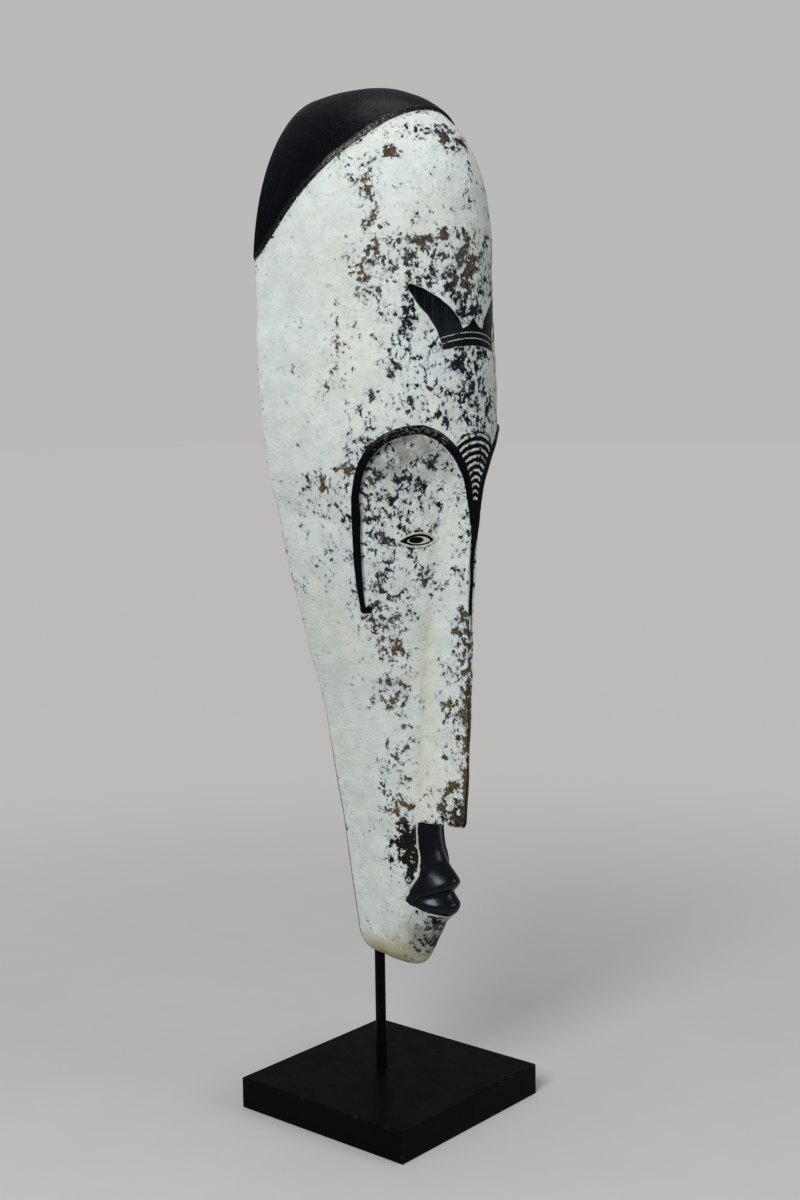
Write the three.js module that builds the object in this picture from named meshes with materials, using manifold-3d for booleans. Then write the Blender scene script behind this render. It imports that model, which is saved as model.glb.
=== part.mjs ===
import * as THREE from "three";
import { mergeVertices } from "three/addons/utils/BufferGeometryUtils.js";
import Module from "manifold-3d";

const wasm = await Module();
wasm.setup();

// Sizes in millimetres. Up is +Z, the mask looks along -Y, and the origin is the middle of the base's underside.
// A point of the mask is worked out as x, forward, z, where forward is measured from the rod's axis towards -Y.
const base = { side: 200, height: 30, edge: 1, holeDepth: 22 };
const rod = { radius: 5, play: 0.3, behind: 10.6, intoMask: 68 };
const chin = { low: 142, rimLow: 147, top: 183, half: 28, taper: 1.3, power: 2.5 };
const crown = { foot: 759, rimTop: 943.7, apex: 945.6, half: 111, depth: 121, rimPower: 1.3, widthPower: 1.973,
  widthRoot: 0.549, dome: 0.552, centre: 5.3, heart: new THREE.Vector3(0, 0, 780) };
const cap = { thick: 3, bevel: 1.6 };
const backLean = Math.tan(THREE.MathUtils.degToRad(3.3));
const hollow = { low: 306, top: 916, wall: 20, cover: 27, roundness: 0.5 };
const nose = { cut: 283, ridge: 2.8, tipDrop: 1.5, wingRise: 4.5 };
const band = { half: 4.1, proud: 1.8, sunk: 3.2, steps: 54, foot: 476 };
const eye = { x: 40.2, z: 546, half: 14.8, tall: 6.2, rim: 1.4, proud: 1, steps: 26 };
const muzzle = { low: 206, step: 2.4 };
// The thicker wood behind the chin that the rod goes up into, as [radius, height].
const boss = [[0, 151], [7.2, 152], [9, 155], [10.8, 162], [11.8, 172], [12, 186], [12, 345], [0, 357]];

// Widths and depths against height, each a list of [height, size].
const halfWidth = [[183, 28], [223, 33], [271, 38.3], [329, 46.8], [396, 57.1], [435, 68.4], [472.5, 78.2], [510, 87.8],
  [545.5, 96], [575, 101], [591.5, 105.8], [608, 109.6], [645, 113.9], [671, 115], [689, 115.3], [708, 115.1],
  [725, 114.3], [740, 112.7], [750, 111.5], [759, 111]];
const ridgeDepth = [[183, 77.4], [283, 106.5], [401, 113], [492, 116], [554, 119.3], [581, 120.5], [608, 122.3],
  [633, 123.8], [680, 122.5], [727, 121], [759, 121]];
const floorDepth = [[183, 77.4], [187, 78.8], [192, 81.6], [196, 84.2], [201, 87], [205, 87.6], [214, 88], [225, 88],
  [235, 86.4], [245, 81.5], [258, 76], [277, 73.8], [290, 74.2], [354, 76.5], [446, 85.5], [528, 98], [545, 99.5], [575, 103.5], [600, 108], [640, 113],
  [700, 121], [759, 121]];
const squareness = [[183, 2.5], [223, 2.7], [283, 2.7], [354, 2.6], [446, 2.3], [545, 2.05], [640, 2], [759, 2]];
// The chin's front from its top round to the back rim, as [share of the way, how far forward] and [share, height].
const chinReach = [[0, 77.4], [0.11, 73.4], [0.22, 69.8], [0.33, 66.9], [0.44, 64], [0.55, 61.2], [0.65, 57.8],
  [0.73, 53.6], [0.8, 47.5], [0.87, 38], [0.93, 25], [0.97, 13], [1, -0.1]];
const chinCrest = [[0, 183], [0.11, 176], [0.22, 170], [0.33, 163.5], [0.44, 158], [0.55, 153], [0.65, 149],
  [0.73, 146.1], [0.8, 143.9], [0.87, 142.3], [0.93, 142], [0.97, 143.3], [1, 147]];
// Half the width of the nose at its foot, carried on below as the edge of the muzzle.
const footHalf = [[183, 27], [212, 26.6], [226, 25.5], [240, 21.8], [254, 18.8], [268, 19.2], [287, 19], [354, 18.8],
  [446, 20.8], [528, 22.5], [575, 24]];
// How far the wall of the brow hollow and the side of the nose run before they reach the floor.
const wallRun = [[283, 19.4], [354, 16.6], [446, 17.3], [528, 19], [575, 18], [613, 14], [640, 10], [643, 9]];
const outerWallRun = [[470, 14], [520, 7], [600, 7], [643, 9]];
// The middle line of the brow band from its outer end over the eye and down the ridge of the nose, [angle, height].
const browLine = [[56, 474], [57, 486], [58, 502], [58.3, 525], [57.8, 550], [56.7, 578], [54.6, 597], [51.9, 613.7],
  [48.3, 626], [42.3, 637], [35.9, 642.2], [29.1, 643.6], [22.2, 638.8], [15.5, 628], [9.4, 612.7], [4.9, 593.5],
  [2.6, 566], [1.7, 530], [1.4, 400], [1.6, 283]];
// Height of the hairline at the rim against the angle from the middle.
const hairline = [[0, 860.8], [10, 860.2], [20, 858.6], [28.9, 855.2], [34.5, 851.8], [43, 847], [49, 843.4], [55.6, 839],
  [60.9, 834.4], [66.3, 829], [70.5, 823.6], [75.6, 815.4], [80.1, 807.6], [84, 801], [90, 793]];
// Lips as [height from the crease, how far they stand out].
const lipProfile = [[-32, 0], [-29, 0.7], [-23, 3.2], [-18, 6.4], [-14, 7.5], [-11, 6.9], [-9, 5.6], [-6.7, 4],
  [-4.2, 2.4], [-1.5, 1.2], [0, 1.4], [1.5, 3.2], [4.2, 5.8], [6.3, 7.3], [9.5, 9.3], [12, 9.2], [15.3, 7.4],
  [18.6, 5.2], [21, 3.7], [24, 2.1], [29, 0]];
const mouth = { crease: 220.3, droop: 7.8, half: 27 };

const rad = THREE.MathUtils.degToRad;
const clamp = THREE.MathUtils.clamp;
const mix = THREE.MathUtils.lerp;

// A curve through the points that never swings past them: cubic pieces with the slopes' harmonic mean.
function curve(points) {
  const n = points.length;
  const run = points.slice(1).map((p, i) => p[0] - points[i][0]);
  const grade = run.map((r, i) => (points[i + 1][1] - points[i][1]) / r);
  const slope = points.map((_, i) => {
    if (i === 0) return grade[0];
    if (i === n - 1) return grade[n - 2];
    if (grade[i - 1] * grade[i] <= 0) return 0;
    const a = 2 * run[i] + run[i - 1];
    const b = run[i] + 2 * run[i - 1];
    return (a + b) / (a / grade[i - 1] + b / grade[i]);
  });
  return (at) => {
    if (at <= points[0][0]) return points[0][1];
    if (at >= points[n - 1][0]) return points[n - 1][1];
    let i = 0;
    while (at > points[i + 1][0]) i++;
    const h = run[i];
    const t = (at - points[i][0]) / h;
    return (1 + 2 * t) * (1 - t) ** 2 * points[i][1] + t * (1 - t) ** 2 * h * slope[i]
      + t * t * (3 - 2 * t) * points[i + 1][1] + t * t * (t - 1) * h * slope[i + 1];
  };
}
const ramp = (low, high, at) => THREE.MathUtils.smoothstep(at, low, high);

const halfAt = curve(halfWidth);
const ridgeAt = curve(ridgeDepth);
const floorAt = curve(floorDepth);
const squareAt = curve(squareness);
const footAt = curve(footHalf);
const runAt = curve(wallRun);
const outerRunAt = curve(outerWallRun);
const hairAt = curve(hairline);
const lipAt = curve(lipProfile);
const chinReachAt = curve(chinReach);
const chinCrestAt = curve(chinCrest);
const backAt = (z) => -4.5 - backLean * (z - 223);

// One cross-section of the blank, told by the height of its rim. Chin and crown fold back to a point on the rim.
function levelAt(rim) {
  if (rim >= chin.top && rim <= crown.foot) {
    return { half: halfAt(rim), back: backAt(rim), ridge: ridgeAt(rim), floor: floorAt(rim), rim, crest: rim,
      power: squareAt(rim), ridgePower: 2 };
  }
  if (rim < chin.top) {
    const turn = Math.asin(clamp((chin.top - rim) / (chin.top - chin.rimLow), 0, 1));
    const depth = chinReachAt(turn / (Math.PI / 2));
    return { half: chin.half * Math.max(0, Math.cos(turn)) ** chin.taper, back: backAt(rim), ridge: depth, floor: depth, rim,
      crest: chinCrestAt(turn / (Math.PI / 2)), power: chin.power, ridgePower: chin.power };
  }
  const last = backAt(crown.rimTop);
  const t = clamp((rim - crown.foot) / (crown.rimTop - crown.foot), 0, 1);
  const turn = Math.asin(t ** (1 / crown.rimPower));
  const lean = (turn / (Math.PI / 2)) * Math.acos((last - crown.centre) / (crown.depth - crown.centre));
  const depth = crown.centre + (crown.depth - crown.centre) * Math.cos(lean);
  const behind = Math.max(0, (crown.centre - depth) / (crown.centre - last)) ** 2;
  const crest = lean < Math.PI / 2 ? crown.foot + (crown.apex - crown.foot) * Math.sin(lean) ** crown.dome
    : mix(crown.apex, crown.rimTop, behind);
  const half = crown.half * Math.max(0, 1 - t ** crown.widthPower) ** crown.widthRoot;
  return { half, back: backAt(rim), ridge: depth, floor: depth, rim, crest, power: 2, ridgePower: 2 };
}

// The point at an angle from the middle on a section, of the uncut blank or of the carved floor.
function onLevel(level, angle, carved) {
  const g = Math.max(0, Math.cos(angle)) ** (2 / (carved ? level.power : level.ridgePower));
  const depth = carved ? level.floor : level.ridge;
  return new THREE.Vector3(level.half * Math.sin(angle), mix(level.back, depth, g), mix(level.rim, level.crest, g));
}

// The brow line as points on the blank, evenly stepped.
function browPoints(steps) {
  const along = [0];
  browLine.slice(1).forEach((p, i) => {
    along.push(along[i] + Math.hypot((p[0] - browLine[i][0]) * 1.6, p[1] - browLine[i][1]));
  });
  const angle = curve(browLine.map((p, i) => [along[i], p[0]]));
  const height = curve(browLine.map((p, i) => [along[i], p[1]]));
  return Array.from({ length: steps + 1 }, (_, i) => {
    const s = (along.at(-1) * i) / steps;
    return { degrees: angle(s), z: height(s), at: onLevel(levelAt(height(s)), rad(angle(s)), false) };
  });
}
const browRun = browPoints(120);

// How far a point is from the brow line, and whether it lies under the brow.
function fromBrow(point, degrees) {
  let best = { distance: Infinity, under: false };
  const line = new THREE.Line3();
  const near = new THREE.Vector3();
  for (let i = 0; i < browRun.length - 1; i++) {
    const a = browRun[i];
    const b = browRun[i + 1];
    const distance = line.set(a.at, b.at).closestPointToPoint(point, true, near).distanceTo(point);
    if (distance >= best.distance) continue;
    const turn = (b.degrees - a.degrees) * (point.z - a.z) - (b.z - a.z) * (degrees - a.degrees);
    best = { distance, under: turn > 0 };
  }
  return best;
}

// How far the carving has gone from the blank down to the floor, 0 to 1. The nose and the brow stay on the blank.
function carvedShare(point, degrees) {
  const z = point.z;
  if (z < nose.cut) return 1;
  if (z > 660) return 0;
  const side = (1 - ramp(430, 560, z)) * ramp(25, 50, degrees);
  const brow = fromBrow(point, degrees);
  const inside = mix(1 - ramp(44, 62, degrees), brow.under ? 1 : 0, ramp(450, 490, z));
  const run = degrees > 29.7 && z > 470 ? outerRunAt(z) : runAt(z);
  const t = clamp((brow.distance - nose.ridge) / run, 0, 1);
  const wall = mix(1 - (1 - t) ** 1.5, ramp(0, 1, t), ramp(560, 600, z));
  return side + (1 - side) * wall * inside;
}

// The carved face: floor and nose, then the muzzle set inside its edge, and the lips.
function facePoint(rim, angle) {
  const level = levelAt(rim);
  const blank = onLevel(level, angle, false);
  const floor = onLevel(level, angle, true);
  const x = Math.abs(blank.x);
  const z = blank.z;
  const share = carvedShare(new THREE.Vector3(x, blank.y, z), Math.abs(THREE.MathUtils.radToDeg(angle)));
  const point = blank.clone().lerp(floor, share);
  point.share = share;
  if (z < nose.cut && z > chin.top) {
    const inSet = 1 - ramp(footAt(z) - 2.6, footAt(z), x);
    point.y -= muzzle.step * inSet * ramp(0, 0.7, x / footAt(z)) * ramp(muzzle.low, muzzle.low + 10, z);
  }
  if (z < 300 && z > chin.top - 20) {
    const width = clamp(1 - (x / mouth.half) ** 2, 0, 1);
    const crease = mouth.crease - mouth.droop * Math.min(x / 26, 1.3) ** 2;
    if (z < nose.cut) point.y += lipAt((z - crease) / (0.22 + 0.78 * width)) * width ** 0.7;
    const tilt = nose.wingRise * clamp(x / 19, 0, 1) - nose.tipDrop;
    point.z += tilt * Math.exp(-(((z - nose.cut) / 18) ** 2));
  }
  return point;
}

// The crown from the forehead to the top; above the hairline the hair stands proud of the wood.
function crownPoint(rim, angle, proud) {
  const at = (r, a) => onLevel(levelAt(Math.min(r, crown.rimTop - 1e-6)), a, false);
  const point = at(rim, angle);
  if (!proud) return point;
  if (rim > crown.rimTop - 0.5) return point.setZ(point.z + proud);
  const side = clamp(angle, rad(-88.5), rad(88.5));
  const across = at(rim, side + 0.02).sub(at(rim, side - 0.02));
  const upwards = at(rim + 0.2, side).sub(at(rim - 0.2, side));
  const normal = across.cross(upwards);
  if (normal.dot(point.clone().sub(crown.heart)) < 0) normal.negate();
  if (Math.abs(angle) > rad(88.5)) normal.y = 0;
  return point.addScaledVector(normal.normalize(), proud);
}

// Angles of the columns: close together on the nose and the brow hollow, wider on the sides.
function columnAngles(rim) {
  const level = levelAt(clamp(rim, chin.top, crown.foot));
  const ridge = Math.asin((nose.ridge + 1.6) / level.half);
  const foot = Math.asin(clamp(footAt(rim) / level.half, 0, 0.96));
  const brow = Math.max(rad(58), foot + rad(8));
  const out = [0, ridge * 0.55];
  for (let i = 0; i < 5; i++) out.push(mix(ridge, foot, i / 5));
  for (let i = 0; i < 11; i++) out.push(mix(foot, brow, i / 11));
  for (let i = 0; i <= 6; i++) out.push(mix(brow, Math.PI / 2, i / 6));
  return [...out.slice(1).map((a) => -a).reverse(), ...out];
}

// Turns rows of points into one closed body: the rows' ends are joined across the flat back.
function closedRows(rows) {
  const across = rows[0].length;
  const position = rows.flat().flatMap((p) => [p.x, rod.behind - p.y, p.z]);
  const index = [];
  const depth = rows.flat().map((p) => p.share ?? 0);
  // Each quad is split along the diagonal that keeps to one depth, so that curved walls stay smooth.
  const quad = (a, b, c, d) => {
    if (Math.abs(depth[a] - depth[c]) <= Math.abs(depth[b] - depth[d])) index.push(a, b, c, a, c, d);
    else index.push(a, b, d, b, c, d);
  };
  for (let r = 0; r + 1 < rows.length; r++) {
    const a = r * across;
    const b = a + across;
    for (let c = 0; c + 1 < across; c++) quad(a + c, a + c + 1, b + c + 1, b + c);
    quad(a + across - 1, a, b, b + across - 1);
  }
  for (let c = 1; c + 1 < across; c++) {
    index.push(0, c + 1, c);
    const b = (rows.length - 1) * across;
    index.push(b, b + c, b + c + 1);
  }
  return solid(new THREE.BufferGeometry()
    .setAttribute("position", new THREE.Float32BufferAttribute(position, 3)).setIndex(index));
}

function solid(geometry) {
  const bare = new THREE.BufferGeometry().setAttribute("position", geometry.getAttribute("position"));
  bare.setIndex(geometry.index);
  const merged = mergeVertices(bare, 1e-4);
  const made = new wasm.Manifold(new wasm.Mesh({ numProp: 3, vertProperties: merged.attributes.position.array,
    triVerts: new Uint32Array(merged.index.array) }));
  return made;
}

function maskBlank() {
  const rows = [];
  const chinTurns = [90, 84, 78, 72, 65, 57, 48, 37, 26, 15, 6];
  for (const turn of chinTurns) {
    const rim = chin.top - (chin.top - chin.rimLow) * Math.sin(rad(turn));
    rows.push(columnAngles(rim).map((a) => (turn === 90 ? onLevel(levelAt(chin.rimLow), a, true) : facePoint(rim, a))));
  }
  const heights = [183, 188, 193, 197, 200, 203, 206, 209, 212, 214.5, 217, 219, 220.5, 222, 224.5, 228, 232, 237, 243,
    251, 261, 272, 282, 284, 294, 310, 335, 365, 400, 430, 452];
  for (let z = 466; z < 600; z += 8) heights.push(z);
  for (let z = 603; z < 652; z += 5) heights.push(z);
  heights.push(658, 676, 702, 730, 759);
  for (const z of heights) rows.push(columnAngles(z).map((a) => facePoint(z, a)));
  const sides = columnAngles(crown.foot);
  const hair = sides.map((a) => hairAt(Math.abs(THREE.MathUtils.radToDeg(a))));
  for (const share of [0.02, 0.06, 0.13, 0.24, 0.4, 0.6, 0.8, 1]) {
    rows.push(sides.map((a, i) => crownPoint(mix(crown.foot, hair[i], share), a, 0)));
  }
  const turnAt = (rim) => Math.asin(((rim - crown.foot) / (crown.rimTop - crown.foot)) ** (1 / crown.rimPower));
  const rimAt = (turn) => mix(crown.foot, crown.rimTop, Math.sin(turn) ** crown.rimPower);
  const capRow = (share, proud) => rows.push(sides.map((a, i) => {
    const from = turnAt(hair[i]);
    return crownPoint(rimAt(mix(from, Math.PI / 2, share)), a, proud);
  }));
  capRow(0.004, cap.thick - cap.bevel * 0.6);
  capRow(0.03, cap.thick);
  for (let i = 1; i <= 9; i++) capRow(0.03 + (0.97 * i) / 9, cap.thick);
  return closedRows(rows);
}

// The hollow at the back follows the outside, a wall's thickness in.
function backHollow() {
  const rows = [];
  const steps = 20;
  for (let r = 0; r <= steps; r++) {
    const z = mix(hollow.low, hollow.top, (1 - Math.cos((Math.PI * r) / steps)) / 2);
    const level = levelAt(z);
    const lowEnd = clamp((z - hollow.low) / 150, 0, 1);
    const topEnd = clamp((hollow.top - z) / 120, 0, 1);
    const round = Math.min((1 - (1 - lowEnd) ** 2) ** hollow.roundness, (1 - (1 - topEnd) ** 2) ** hollow.roundness);
    const half = Math.max(2, (halfAt(z) - hollow.wall) * round);
    const deep = Math.max(1, (Math.min(level.floor, floorAt(z)) - hollow.cover - backAt(z)) * round);
    const row = [new THREE.Vector3(-half, backAt(z) - 12, z)];
    for (let c = 0; c <= 14; c++) {
      const a = rad(-90 + (180 * c) / 14);
      row.push(new THREE.Vector3(half * Math.sin(a), backAt(z) + deep * Math.cos(a) ** 0.9, z));
    }
    row.push(new THREE.Vector3(half, backAt(z) - 12, z));
    rows.push(row);
  }
  return closedRows(rows);
}

// Sweeps a section of [across, out] points along a line that lies on the face.
function sweep(line, outward, section, closed) {
  const count = line.length;
  const position = [];
  line.forEach((p, i) => {
    const before = line[closed ? (i + count - 1) % count : Math.max(0, i - 1)];
    const after = line[closed ? (i + 1) % count : Math.min(count - 1, i + 1)];
    const along = after.clone().sub(before).normalize();
    const out = outward[i].clone().addScaledVector(along, -outward[i].dot(along)).normalize();
    const across = along.clone().cross(out);
    for (const [s, o] of section) {
      const q = p.clone().addScaledVector(across, s).addScaledVector(out, o);
      position.push(q.x, rod.behind - q.y, q.z);
    }
  });
  const n = section.length;
  const index = [];
  for (let i = 0; i < (closed ? count : count - 1); i++) {
    const a = i * n;
    const b = ((i + 1) % count) * n;
    for (let k = 0; k < n; k++) {
      const m = (k + 1) % n;
      index.push(a + k, a + m, b + m, a + k, b + m, b + k);
    }
  }
  if (!closed) {
    for (let k = 1; k + 1 < n; k++) {
      index.push(0, k + 1, k);
      const b = (count - 1) * n;
      index.push(b, b + k, b + k + 1);
    }
  }
  const geometry = new THREE.BufferGeometry()
    .setAttribute("position", new THREE.Float32BufferAttribute(position, 3)).setIndex(index);
  const made = solid(geometry);
  if (made.volume() > 0) return made;
  const flipped = geometry.clone();
  for (let i = 0; i < index.length; i += 3) [index[i + 1], index[i + 2]] = [index[i + 2], index[i + 1]];
  return solid(flipped.setIndex(index));
}

// The raised black line of the brow, from its outer end to where the two meet on the bridge of the nose.
function browBand() {
  const line = browPoints(band.steps * 2).filter((p, i) => (p.z > 548 || i < band.steps) && i % 2 === 0)
    .map((p) => p.at);
  const outward = line.map((p) => {
    const half = halfAt(p.z);
    const deep = ridgeAt(p.z) - backAt(p.z);
    return new THREE.Vector3(p.x / half ** 2, (p.y - backAt(p.z)) / deep ** 2, 0).normalize();
  });
  const w = band.half;
  const section = [[-w, -band.sunk], [-w, 0.2], [-w * 0.62, band.proud * 0.8], [0, band.proud], [w * 0.62, band.proud * 0.8],
    [w, 0.2], [w, -band.sunk]];
  return sweep(line, outward, section, false);
}

// The raised rim round the almond of the eye.
function eyeRim() {
  const line = [];
  const outward = [];
  for (let i = 0; i < eye.steps; i++) {
    const a = (2 * Math.PI * i) / eye.steps;
    const x = eye.x + eye.half * Math.cos(a);
    const z = eye.z + eye.tall * Math.sin(a) * Math.abs(Math.sin(a)) ** 0.35;
    const level = levelAt(z);
    const angle = Math.asin(x / level.half);
    line.push(facePoint(z, angle));
    outward.push(new THREE.Vector3(0.42, 0.9, -0.12).normalize());
  }
  const w = eye.rim;
  return sweep(line, outward, [[-w, -2], [-w, 0.1], [0, eye.proud], [w, 0.1], [w, -2]], true);
}

const mirrored = (s) => s.mirror([1, 0, 0]);
const upright = (radius, low, high, sides) => solid(new THREE.CylinderGeometry(radius, radius, high - low, sides)
  .rotateX(Math.PI / 2).translate(0, rod.behind, (low + high) / 2));

const socketTop = chin.low + rod.intoMask;
const brow = browBand();
const rim = eyeRim();
const rib = solid(new THREE.LatheGeometry(boss.map(([r, z]) => new THREE.Vector2(r, z)), 36)
  .rotateX(Math.PI / 2).translate(0, rod.behind, 0));
const mask = maskBlank()
  .add(rib)
  .subtract(backHollow())
  .add(brow).add(mirrored(brow))
  .add(rim).add(mirrored(rim))
  .subtract(upright(rod.radius + rod.play, chin.low - 20, socketTop + rod.play, 32));

const rodFoot = base.height - base.holeDepth;
const rodSolid = upright(rod.radius, rodFoot + rod.play, socketTop, 32);

function basePlate() {
  const half = base.side / 2 - base.edge;
  const outline = new THREE.Shape([[-half, -half], [half, -half], [half, half], [-half, half]]
    .map(([x, y]) => new THREE.Vector2(x, y)));
  const plate = new THREE.ExtrudeGeometry(outline, { depth: base.height - 2 * base.edge, bevelSize: base.edge,
    bevelThickness: base.edge, bevelSegments: 2 }).translate(0, 0, base.edge);
  return solid(plate).subtract(upright(rod.radius + rod.play, rodFoot, base.height + 5, 32));
}

const finishes = {
  paint: { color: 0xdedfd6, roughness: 0.55 },
  black: { color: 0x16171a, roughness: 0.35 },
};

function node(name, made, finish) {
  const mesh = made.getMesh();
  const geometry = new THREE.BufferGeometry()
    .setAttribute("position", new THREE.BufferAttribute(mesh.vertProperties, 3))
    .setIndex(new THREE.BufferAttribute(mesh.triVerts, 1));
  const out = new THREE.Mesh(geometry, new THREE.MeshStandardMaterial(finishes[finish]));
  out.name = name;
  return out;
}

const object = new THREE.Group();
object.add(
  node("mask", mask.simplify(0.1), "paint"),
  node("rod", rodSolid, "black"),
  node("base_plate", basePlate(), "black"),
);

export default object;
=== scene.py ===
import math

import bpy
import numpy as np
from mathutils import Matrix, Vector


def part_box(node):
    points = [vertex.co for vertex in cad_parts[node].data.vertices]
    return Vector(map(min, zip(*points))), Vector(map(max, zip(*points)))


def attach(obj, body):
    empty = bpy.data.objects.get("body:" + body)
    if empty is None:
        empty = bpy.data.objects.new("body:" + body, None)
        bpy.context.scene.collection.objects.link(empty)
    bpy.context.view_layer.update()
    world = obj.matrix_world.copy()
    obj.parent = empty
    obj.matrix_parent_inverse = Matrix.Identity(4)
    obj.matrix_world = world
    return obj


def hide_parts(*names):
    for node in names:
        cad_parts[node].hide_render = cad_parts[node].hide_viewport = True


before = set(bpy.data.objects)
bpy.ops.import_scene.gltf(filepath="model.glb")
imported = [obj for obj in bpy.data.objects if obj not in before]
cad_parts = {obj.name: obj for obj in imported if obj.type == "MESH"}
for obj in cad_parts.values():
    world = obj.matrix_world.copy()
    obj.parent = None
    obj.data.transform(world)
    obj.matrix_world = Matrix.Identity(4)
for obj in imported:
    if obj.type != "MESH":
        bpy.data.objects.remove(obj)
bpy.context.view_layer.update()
mm = 0.001  # shapes are worked out in millimetres, and the meshes are in metres
print("frame loaded")

rodLow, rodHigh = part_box("rod")
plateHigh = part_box("base_plate")[1]
rodBehind = 500 * (rodLow[1] + rodHigh[1])  # the rod's axis lies this far behind the middle of the plate

# What the mask is shaped from. x is sideways, forward is measured from the rod's axis, z is the height.
mask = dict(
    chinTop=183.0, chinRim=147.0, chinHalf=28.0, chinTaper=1.3, chinPower=2.5,
    chinPath=[(0, 77.4, 183), (0.11, 73.4, 176), (0.22, 69.8, 170), (0.33, 66.9, 163.5), (0.44, 64, 158),
              (0.55, 61.2, 153), (0.65, 57.8, 149), (0.73, 53.6, 146.1), (0.8, 47.5, 143.9), (0.87, 38, 142.3),
              (0.93, 25, 142), (0.97, 13, 143.3), (1, -0.1, 147)],
    crownFoot=759.0, crownRim=943.7, crownTop=945.6, crownHalf=111.0, crownDepth=121.0,
    crownCentre=5.3, crownRimPower=1.3, crownWidthPower=1.973, crownWidthRoot=0.549, crownDome=0.552,
    backLean=math.tan(math.radians(3.3)), backAt=-4.5, backFrom=223.0,
    noseCut=283.0, noseRidge=2.8, noseTipDrop=1.5, noseWingRise=4.5,
    muzzleStep=2.4, muzzleLow=206.0,
    hairProud=3.0, hairRound=2.2,
    bandHalf=4.1, bandProud=1.8, bandToe=(52.6, 57.2), bandToeAt=485, bandToeHalf=3.1,
    hornDeep=0.55, rimRound=0.9, noseRound=3.4, ridgeRound=1.1, bandThin=(3.6, 1.3),
    arcAt=602, arcRise=6.15, arcDrop=4.4, barBend=0.0045,
    bridgeHalf=[(540, 3), (570, 4), (588, 6), (602, 8.5), (613, 12), (620, 14.5), (632, 18), (645, 20)],
    bandsMeet=[(430, -3), (470, 0.6), (490, 1.7), (520, 2.8), (550, 3.5), (575, 5.2)],
    unevenness=0.42,
    halfWidth=[(183, 28), (223, 33), (271, 38.3), (329, 46.8), (396, 57.1), (435, 68.4), (472.5, 78.2),
               (510, 87.8), (545.5, 96), (575, 101), (591.5, 105.8), (608, 109.6), (645, 113.9), (671, 115),
               (689, 115.3), (708, 115.1), (725, 114.3), (740, 112.7), (750, 111.5), (759, 111)],
    ridgeDepth=[(183, 77.4), (283, 106.5), (401, 113), (492, 116), (554, 119.3), (581, 120.5), (608, 122.3),
                (633, 123.8), (680, 122.5), (727, 121), (759, 121)],
    floorDepth=[(183, 77.4), (187, 78.8), (192, 81.6), (196, 84.2), (201, 87), (205, 87.6), (214, 88), (225, 88),
                (235, 86.4), (245, 81.5), (258, 76), (277, 73.8), (290, 74.2), (354, 76.5), (446, 85.5),
                (528, 98), (545, 99.5), (575, 103.5), (600, 108), (640, 113), (700, 121), (759, 121)],
    squareness=[(183, 2.5), (223, 2.7), (283, 2.7), (354, 2.6), (446, 2.3), (545, 2.05), (640, 2), (759, 2)],
    footHalf=[(183, 27), (212, 26.6), (226, 25.5), (240, 21.8), (254, 18.8), (268, 19.2), (287, 19),
              (354, 18.8), (446, 20.8), (528, 22.5), (575, 24)],
    wallRun=[(283, 19.4), (354, 16.6), (446, 17.3), (528, 19), (575, 18), (613, 14), (640, 10), (643, 9)],
    outerWallRun=[(470, 14), (520, 7), (600, 7), (643, 9)],
    browLine=[(56, 474), (57, 486), (58, 502), (58.3, 525), (57.8, 550), (56.7, 578), (54.6, 597),
              (51.9, 613.7), (48.3, 626), (42.3, 637), (35.9, 642.2), (29.1, 643.6), (22.2, 638.8),
              (15.5, 628), (9.4, 612.7), (4.9, 593.5), (2.6, 566), (1.7, 530), (1.4, 400), (1.6, 283)],
    hairline=[(0, 860.8), (10, 860.2), (20, 858.6), (28.9, 855.2), (34.5, 851.8), (43, 847), (49, 843.4),
              (55.6, 839), (60.9, 834.4), (66.3, 829), (70.5, 823.6), (75.6, 815.4), (80.1, 807.6),
              (84, 801), (90, 793)],
    lips=[(-32, 0), (-29, 0.7), (-23, 3.2), (-18, 6.4), (-14, 7.5), (-11, 6.9), (-9, 5.6), (-6.7, 4), (-4.2, 2.4),
          (-1.5, 1.2), (0, 1.4), (1.5, 3.2), (4.2, 5.8), (6.3, 7.3), (9.5, 9.3), (12, 9.2), (15.3, 7.4), (18.6, 5.2),
          (21, 3.7), (24, 2.1), (29, 0)],
    mouthCrease=220.3, mouthDroop=7.8, mouthHalf=27.0,
    # where one form goes over to the next, as heights (Fade) or angles from the middle (Turn)
    sideFade=(430, 560), sideTurn=(25, 50), cheekTurn=(44, 62), browFade=(450, 490), wallFade=(560, 600),
    carvedTop=660, bandFade=(478, 487), bandLiftFade=(474, 487),
)
hollow = dict(low=306.0, top=916.0, wall=20.0, cover=27.0)
# The rib behind the chin, as (height, half its width).
rib = [(151, 0), (152, 7.2), (155, 9), (162, 10.8), (172, 11.8), (186, 12), (345, 12), (357, 0)]
# irisX sets the iris off outwards, so that its brown also paints the shade at the eye's outer side
eye = dict(x=40.2, z=546.0, half=13.6, up=6.0, down=4.2, rimWidth=1.0, rimAt=1.1, rimProud=1.0, ballDeep=0.7, near=21,
           pupilX=2.0, pupilZ=0.7, pupilHalf=4.7, pupilTall=2.4, irisX=1.6, irisHalf=5.9, irisTall=3.0)
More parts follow.
